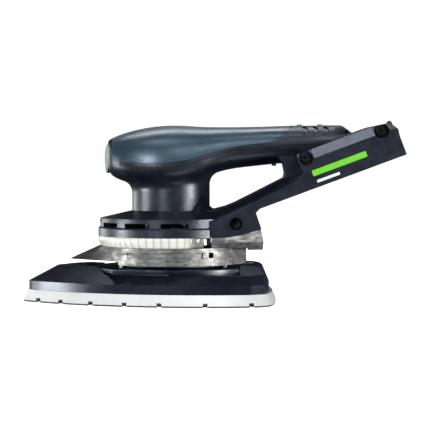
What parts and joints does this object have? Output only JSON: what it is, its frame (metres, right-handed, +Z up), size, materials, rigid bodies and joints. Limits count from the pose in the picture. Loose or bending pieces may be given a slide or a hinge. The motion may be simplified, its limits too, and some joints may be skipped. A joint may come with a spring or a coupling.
{
  "type": "detail mouse sander",
  "caption": "Battery-powered delta sander: orbiting triangular pad, metal dust hood with light ring, palm head, looped grip and angled battery dock.",
  "frame": {"origin": "on the sanding face, under the motor's axis", "axes": "+Z up from the sanding face along the motor's axis, +X towards the battery dock, -X towards the pad's tip"},
  "size_m": [0.2238, 0.1, 0.1067],
  "materials": {
    "body_plastic": "fine-textured near-black blue-grey plastic",
    "soft_grip": "satin teal soft-touch rubber",
    "cap_plastic": "textured mid-grey plastic",
    "green_plastic": "satin green plastic",
    "light_trim": "light grey plastic",
    "black_plastic": "matt black plastic",
    "spring_steel": "spring steel wire",
    "circuit_board": "green lacquered circuit board",
    "bare_aluminium": "cast and turned aluminium",
    "wire_rubber": "insulated wire",
    "contact_brass": "plated brass",
    "bare_steel": "ground steel",
    "trim_plastic": "lighter grey plastic",
    "green_print": "bright green print",
    "white_print": "white print",
    "screw_steel": "blackened steel",
    "hood_metal": "bare blasted and streaked metal",
    "black_rubber": "black rubber",
    "light_diffuser": "milky ribbed light diffuser, lit",
    "led_white": "white light source",
    "lamination_steel": "stacked steel sheet",
    "copper_wire": "enamelled copper winding",
    "hook_fabric": "dark hook fabric",
    "pad_foam": "pale closed-cell foam",
    "platen_plastic": "dark blue-black moulded plastic"
  },
  "bodies": {
    "housing": {"housing_left": "body_plastic", "housing_right": "body_plastic", "head_cover": "body_plastic", "collar_ring": "body_plastic", "top_grip": "soft_grip", "control_cap": "cap_plastic", "front_badge": "green_plastic", "badge_bezel": "light_trim", "button_switch": "black_plastic", "button_spring": "spring_steel", "dial_control": "black_plastic", "control_board": "circuit_board", "sensor_board": "circuit_board", "led_board": "circuit_board", "power_module": "bare_aluminium", "capacitors": "black_plastic", "motor_leads": "wire_rubber", "battery_leads": "wire_rubber", "terminal_block": "black_plastic", "battery_contacts": "contact_brass", "dock_rails": "bare_steel", "dock_trim_left": "trim_plastic", "dock_trim_right": "trim_plastic", "dock_catch": "black_plastic", "accent_stripe_left": "green_print", "accent_stripe_right": "green_print", "accent_dash_left": "white_print", "accent_dash_right": "white_print", "housing_screws": "screw_steel", "hood_screws": "screw_steel", "dust_hood": "hood_metal", "dust_port": "hood_metal", "dust_seal": "black_rubber", "support_posts": "black_rubber", "light_ring": "light_diffuser", "leds": "led_white", "motor_plate": "bare_aluminium", "lower_bearing": "bare_steel", "upper_bearing": "bare_steel", "motor_cap": "bare_aluminium", "stator_core": "lamination_steel", "stator_coils": "copper_wire"},
    "rotor": {"motor_shaft": "bare_steel", "rotor_core": "lamination_steel", "cooling_fan": "black_plastic", "dust_fan": "black_plastic", "crank": "bare_steel", "crank_bolt": "screw_steel", "bolt_washer": "screw_steel"},
    "pad": {"orbit_plate": "platen_plastic", "pad_plate": "platen_plastic", "pad_foam": "pad_foam", "hook_layer": "hook_fabric", "pad_bearing": "bare_steel", "bearing_retainer": "bare_steel", "pad_screws": "screw_steel"},
    "button": {"power_button": "green_plastic"},
    "dial": {"speed_dial": "black_plastic"},
    "latch_left": {"hood_latch_left": "hood_metal"},
    "latch_right": {"hood_latch_right": "hood_metal"}
  },
  "joints": [
    {"name": "rotor_spin", "type": "hinge", "parent": "housing", "child": "rotor", "pos_m": [0, 0, 0.04], "axis": [0, 0, 1], "continuous": true},
    {"name": "pad_orbit", "type": "hinge", "parent": "rotor", "child": "pad", "pos_m": [0.001, 0, 0.0145], "axis": [0, 0, 1], "continuous": true},
    {"name": "button_press", "type": "slide", "parent": "housing", "child": "button", "axis": [0, 0, -1], "range_m": [0, 0.0015], "stiffness_N_per_m": 600, "springref_m": -0.002},
    {"name": "dial_turn", "type": "hinge", "parent": "housing", "child": "dial", "pos_m": [0.0984, -0.0109, 0.0999], "axis": [0, 0, 1], "range_deg": [0, 270]},
    {"name": "latch_left_slide", "type": "hinge", "parent": "housing", "child": "latch_left", "pos_m": [0, 0, 0.0289], "axis": [0, 0, 1], "range_deg": [0, 4.2]},
    {"name": "latch_right_slide", "type": "hinge", "parent": "housing", "child": "latch_right", "pos_m": [0, 0, 0.0289], "axis": [0, 0, -1], "range_deg": [0, 4.2]}
  ],
  "couplings": [
    {"joint": "pad_orbit", "follows": "rotor_spin", "ratio": -1}
  ]
}
